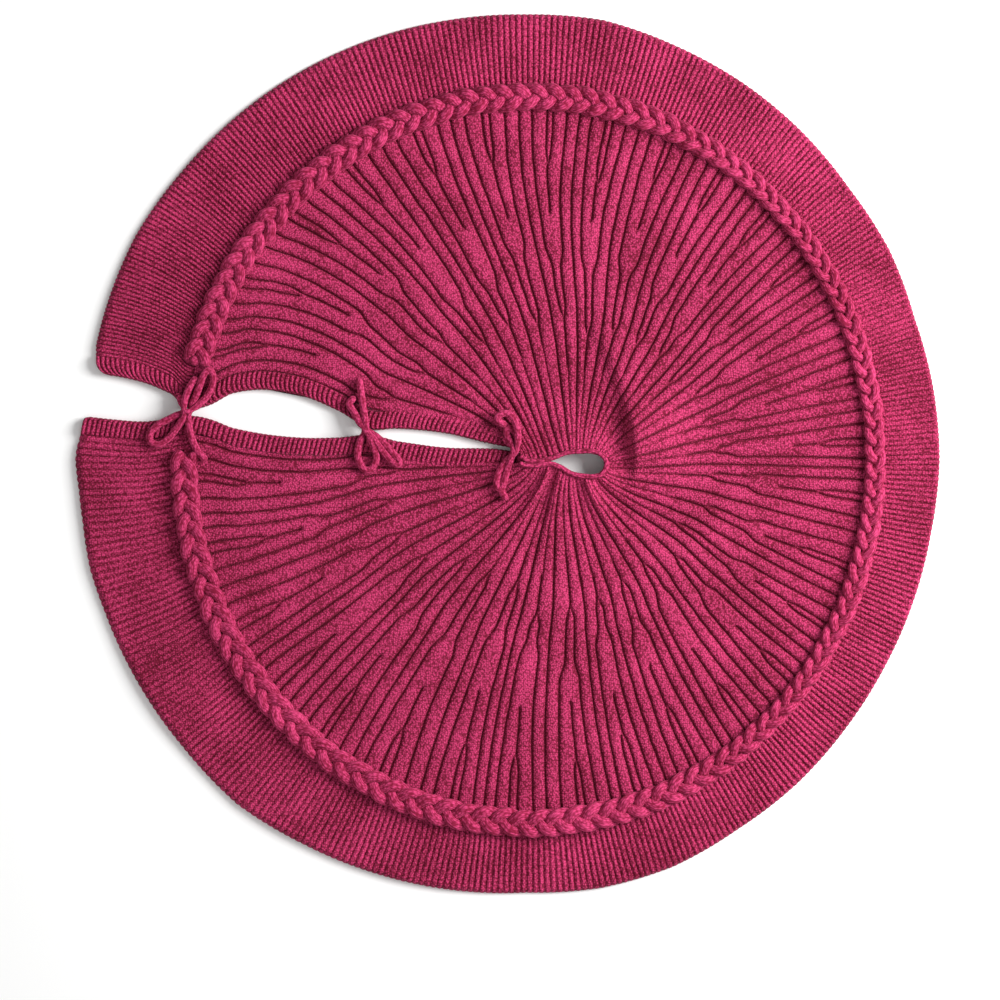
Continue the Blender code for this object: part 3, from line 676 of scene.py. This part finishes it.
def make_panel(jitters):
    rings = np.linspace(COLLAR_RING, 1.0, PANEL_ROWS)
    grid, lift, painted_shade = ribbed_part(PANEL_COLUMNS, rings, jitters)
    pick = np.round(np.linspace(0.0, 1.0, UNDER_ROWS) * (PANEL_ROWS - 1)).astype(int)
    bottom = np.stack([grid[pick, :, 0], grid[pick, :, 1], np.maximum(lift[pick], 0.0)], axis=-1)
    piece = shell("panel_knit", grid, bottom, painted_shade)
    dress(piece, "wide_rib_knit", "inner_panel")
    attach(piece, "skirt")


# The border

BORDER_RIBS = 452
BORDER_SPREAD = 0.045
BORDER_SAMPLES = 8
BORDER_ROWS = 26
BORDER_RIB = 1.1
BORDER_START_RING = 0.985
# how much painted shade darkens the border's grooves
BORDER_GROOVE_SHADE = 0.62


def border_half(name, start, end, nodes):
    ribs = BORDER_RIBS // 2
    way = np.linspace(start, end, ribs * BORDER_SAMPLES + 1)[None, :]
    share = np.linspace(0.0, 1.0, BORDER_ROWS)[:, None]
    ring = BORDER_START_RING + (2.0 - BORDER_START_RING) * share
    angle = chart_angle(way, ring, FABRIC_REACH)
    phase = BORDER_RIBS * (way - BORDER_SPREAD / TURN * np.sin(TURN * way))
    phase = phase + 0.16 * np.sin(way * 97.0 + 1.0) * np.sin(share * 3.0 + way * 41.0)
    rib = np.abs(np.sin(math.pi * phase)) ** 0.8
    scallop = 0.45 * (rib - 0.5) * smooth((share - 0.9) / 0.1)
    stretch = ring + scallop / BORDER_WIDTH
    x, y = ring_point(angle, stretch)
    edge = np.sqrt(np.clip(1.0 - np.clip((share - 0.965) / 0.035, 0.0, 1.0) ** 2, 0.0, 1.0))
    fade = 1.0 - 0.25 * smooth((share - 0.93) / 0.05)
    height = BORDER_THICKNESS + 0.3 - BORDER_RIB * (1.0 - rib) * fade + surface_top(x, y)
    bead = 0.35 * np.exp(-(((share - 0.955) / 0.02) ** 2))
    top = np.maximum((height + bead) * (0.35 + 0.65 * edge), 0.6)
    # Painted shade in the border's grooves.
    painted_shade = BORDER_GROOVE_SHADE * np.clip(1.0 - rib, 0.0, 1.0)
    bottom = np.stack([x, y, np.zeros_like(x)], axis=-1)
    piece = shell(name, np.stack([x, y, top], axis=-1), bottom, painted_shade)
    dress(piece, "fine_rib_knit", *nodes)
    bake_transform(piece)


# The slit's bands

BAND_RIB = 2.6
BAND_SAMPLES = 8
BAND_ROWS = 22
UPPER_CORNER = 6.5        # radii that round the slit's corners at the rim
LOWER_CORNER = 2.5


def rim_x(upper, offset):
    """x where the rim meets the line at offset beside the slit's edge."""
    x = np.full(np.shape(offset), float(slit_x(2.0)))
    for _ in range(12):
        edges = slit_edges(x)
        y = edges[0] + offset if upper else edges[1] - offset
        angle = np.arctan2(y - CENTRE[1], x - CENTRE[0])
        x = CENTRE[0] + visible_rim(angle) * np.cos(angle)
    return x


def make_band(side):
    upper = side == "upper"
    length = NECK_START - float(slit_x(2.0))
    ribs = round(length / BAND_RIB)
    u = np.linspace(0.0, 1.0, ribs * BAND_SAMPLES + 1)[None, :]
    v = np.linspace(0.0, 1.0, BAND_ROWS)[:, None]
    neck_end = ring_point(edge_angle(np.zeros(1), upper, BAND_WIDTH), np.zeros(1))[0][0]
    reach = v * (BAND_WIDTH - 0.2)
    near = mix(NECK_START, neck_end, v)
    corner = UPPER_CORNER if upper else LOWER_CORNER
    cut_off = np.clip(1.0 - reach / corner, 0.0, 1.0)
    far = rim_x(upper, reach) + corner * (1.0 - np.sqrt(1.0 - cut_off ** 2))
    x = mix(far, near, u)
    phase = ribs * u + 0.12 * np.sin(x / 9.0)
    rib = np.abs(np.sin(math.pi * phase)) ** 0.75 + np.zeros_like(v)
    edges = slit_edges(x)
    bump = 0.35 * (rib - 0.4) * (1.0 - smooth(v / 0.12))
    y = edges[0] + reach - bump if upper else edges[1] - reach + bump
    round_off = np.clip(v / 0.10, 0.0, 1.0)
    round_in = np.clip((1.0 - v) / 0.10, 0.0, 1.0)
    profile = np.sqrt(1.0 - (1.0 - round_off) ** 2) * np.sqrt(1.0 - (1.0 - round_in) ** 2 * 0.8)
    swell = 0.5 * np.sin(math.pi * v)
    height = BAND_THICKNESS + 0.1 + swell - 1.1 * (1.0 - rib) * smooth((v - 0.06) / 0.1)
    top = np.maximum(height * (0.3 + 0.7 * profile), 0.6)
    # Painted shade in the band's grooves and on its rounded-off edges.
    painted_shade = np.clip((1.0 - rib) + 0.6 * (1.0 - profile), 0.0, 1.0)
    bottom = np.stack([x, y, np.zeros_like(x)], axis=-1)[::3]
    grid = np.stack([x, y, top], axis=-1)
    if not upper:
        grid, bottom, painted_shade = grid[:, ::-1], bottom[:, ::-1], painted_shade[:, ::-1]
    piece = shell("slit_band_" + side + "_knit", grid, bottom, painted_shade)
    dress(piece, "band_rib_knit", "slit_band_" + side, "slit_band_end_" + side)
    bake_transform(piece)


# Neck

COLLAR_COLUMNS = 900
COLLAR_ROWS = 22


def make_collar(jitters):
    rings = np.linspace(0.0, COLLAR_RING, COLLAR_ROWS)
    grid, lift, painted_shade = ribbed_part(COLLAR_COLUMNS, rings, jitters)
    bottom = np.stack([grid[..., 0], grid[..., 1], np.maximum(lift, 0.0) + 0.8], axis=-1)[::3]
    piece = shell("collar_knit", grid, bottom, painted_shade)
    dress(piece, "neck_knit", "neck_collar")
    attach(piece, "skirt")

    path = even([(*point, 0.0) for point in HEM], 0.35)
    path = path + np.array([*NECK_CENTRE, PANEL_THICKNESS + COLLAR_HEIGHT + 0.4])
    roll = tube("hem_knit", path, np.full(len(path), 1.35), np.full(len(path), 1.3), 14, 1.5)
    dress(roll, "neck_knit", "neck_hem")
    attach(roll, "skirt")


# The plait

STRAND_HALF_WIDTH = 2.9
STRAND_HALF_HEIGHT = 1.95
PLAIT_SEAT = 2.1
PLAIT_SNUG = 0.24         # how much narrower it is drawn opposite the slit
PLAIT_DWELL = 0.06        # how long each strand keeps to the plait's edge
# Length of one link at shares of the way round
LINKS = ((0.0, 10.0), (0.15, 9.6), (0.25, 9.0), (0.5, 9.1), (0.75, 9.7), (0.87, 11.2), (1.0, 11.3))


def make_plait():
    share = np.linspace(PLAIT_END_UPPER, 1.0 - PLAIT_END_LOWER, 4001)
    angle = chart_angle(share, np.ones_like(share))
    x, y = ring_point(angle, np.ones_like(share))
    step = np.hypot(np.diff(x), np.diff(y))
    length = np.concatenate([[0.0], np.cumsum(step)])
    link = np.interp(share[1:], *np.array(LINKS).T)
    laid = np.concatenate([[0.0], np.cumsum(step / (3.0 * link))])
    stations = np.linspace(0.0, length[-1], round(length[-1] / 0.5))
    turns = TURN * np.interp(stations, length, laid)
    x, y = np.interp(stations, length, x), np.interp(stations, length, y)
    away = np.arctan2(y - CENTRE[1], x - CENTRE[0])
    snug = 1.0 - PLAIT_SNUG * smooth((np.cos(away) - 0.1) / 0.7)
    for number in range(3):
        turn = math.pi / 6.0 + turns + number * TURN / 3.0
        loose = 1.0 + 0.05 * np.sin(stations / 23.0 + number) + 0.04 * np.sin(stations / 9.7 + 2.0 * number)
        side = PLAIT_SWING * loose * snug * (np.sin(turn) + PLAIT_DWELL * np.sin(3.0 * turn))
        height = PLAIT_SEAT + STRAND_HALF_HEIGHT + PLAIT_RISE * (1.0 - np.sin(2.0 * turn))
        path = np.stack([x + side * np.cos(away), y + side * np.sin(away), height], axis=1)
        wide = STRAND_HALF_WIDTH * snug * (1.0 + 0.06 * np.sin(stations / 5.3 + 4.0 * number))
        tall = np.full(len(path), STRAND_HALF_HEIGHT)
        strand = tube(f"plait_knit_{number + 1}", path, wide, tall, 18, 1.9)
        dress(strand, "plait_knit", f"plait_strand_{number + 1}")
        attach(strand, "skirt")


# The bows

CORD_HALF = 1.9
KNOT_HALF = 1.35
TIE_LIFT = 0.5


def knot_turn(middle, direction, reach):
    """The arch of cord over a knot, square to direction."""
    turn = np.linspace(0.02 * math.pi, 0.98 * math.pi, 60)
    along = reach * np.cos(turn)
    height = 2.2 + 3.0 * np.sin(turn) ** 0.6
    x = middle[0] - along * math.sin(direction)
    y = middle[1] + along * math.cos(direction)
    return np.stack([x, y, middle[2] + height], axis=1)


def join(piece, other):
    """One mesh of two, with both meshes' attributes."""
    both = bmesh.new()
    both.from_mesh(piece.data)
    both.from_mesh(other.data)
    both.to_mesh(piece.data)
    both.free()
    piece.data.shade_smooth()
    bpy.data.objects.remove(other)


def make_ties():
    for name, route in TIE_ROUTES.items():
        way, lift = KNOTS[name.split("_")[0]]
        knot_x = float(slit_x(way))
        edges = slit_edges(knot_x)
        middle = np.array([knot_x, 0.5 * float(edges[0] + edges[1]) + lift, BAND_THICKNESS + TIE_LIFT])
        path = even(np.array(route) * (1.0, 1.0, 1.05) + middle, 0.4)
        away = np.hypot(path[:, 0] - middle[0], path[:, 1] - middle[1])
        half = mix(KNOT_HALF, CORD_HALF, smooth((away - 2.0) / 4.0))
        piece = tube("tie_" + name + "_knit", path, half, half * 0.94, 16, 1.6)
        if name in KNOT_TURNS:
            degrees, reach = KNOT_TURNS[name]
            wrap = knot_turn(middle, math.radians(degrees), reach)
            turn = tube("turn", wrap, np.full(len(wrap), 1.4), np.full(len(wrap), 0.9), 14, 1.6)
            join(piece, turn)
        dress(piece, "tie_cord", "tie_" + name)
        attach(piece, "skirt")


def make_trim():
    """Small yarns keep their solids' shape and get the wool's looks."""
    for name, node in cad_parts.items():
        if name.startswith("tack_") or name == "border_seam_yarn":
            node.data.materials.clear()
            node.data.materials.append(MATERIALS["sewing_yarn"])


# Stage

def make_stage():
    floor_mesh = bpy.data.meshes.new("floor")
    floor_mesh.from_pydata([(-3, -3, 0), (3, -3, 0), (3, 3, 0), (-3, 3, 0)], [], [(0, 1, 2, 3)])
    floor = bpy.data.objects.new("floor", floor_mesh)
    floor.location.z = -FLOOR_GAP * MM
    bpy.context.scene.collection.objects.link(floor)
    paper = bpy.data.materials.new("pale_paper")
    paper.use_nodes = True
    shader = paper.node_tree.nodes["Principled BSDF"]
    shader.inputs["Base Color"].default_value = (0.92, 0.92, 0.915, 1.0)
    shader.inputs["Roughness"].default_value = 0.9
    floor_mesh.materials.append(paper)

    def lamp(name, place, size, power):
        data = bpy.data.lights.new(name, "AREA")
        data.size = size
        data.energy = power
        light = bpy.data.objects.new(name, data)
        light.location = place
        aim = -light.location.copy()
        light.rotation_euler = aim.to_track_quat("-Z", "Y").to_euler()
        bpy.context.scene.collection.objects.link(light)

    lamp("key", (0.97, 0.27, 0.68), 0.65, 28.0)
    lamp("fill", (0.2, -1.4, 1.9), 2.2, 9.0)
    world = bpy.context.scene.world or bpy.data.worlds.new("studio")
    bpy.context.scene.world = world
    world.use_nodes = True
    background = world.node_tree.nodes["Background"]
    background.inputs["Color"].default_value = (1.0, 1.0, 1.0, 1.0)
    background.inputs["Strength"].default_value = 0.42
    bpy.context.scene.view_settings.view_transform = "Standard"

    camera_data = bpy.data.cameras.new("camera")
    camera_data.sensor_width = 36.0
    camera_data.lens = 36.0 * CAMERA_HEIGHT / FRAME_WIDTH
    camera = bpy.data.objects.new("camera", camera_data)
    camera.location = (CAMERA[0] * MM, CAMERA[1] * MM, CAMERA_HEIGHT * MM)
    bpy.context.scene.collection.objects.link(camera)
    bpy.context.scene.camera = camera


make_stage()
make_ties()
jitters = repeat_jitters()
make_panel(jitters)
border_half("border_upper_knit", 0.0, 0.5, ("border_band", "border_corner_upper"))
border_half("border_lower_knit", 0.5, 1.0, ("border_band", "border_corner_lower"))
make_band("upper")
make_band("lower")
make_collar(jitters)
make_plait()
make_trim()
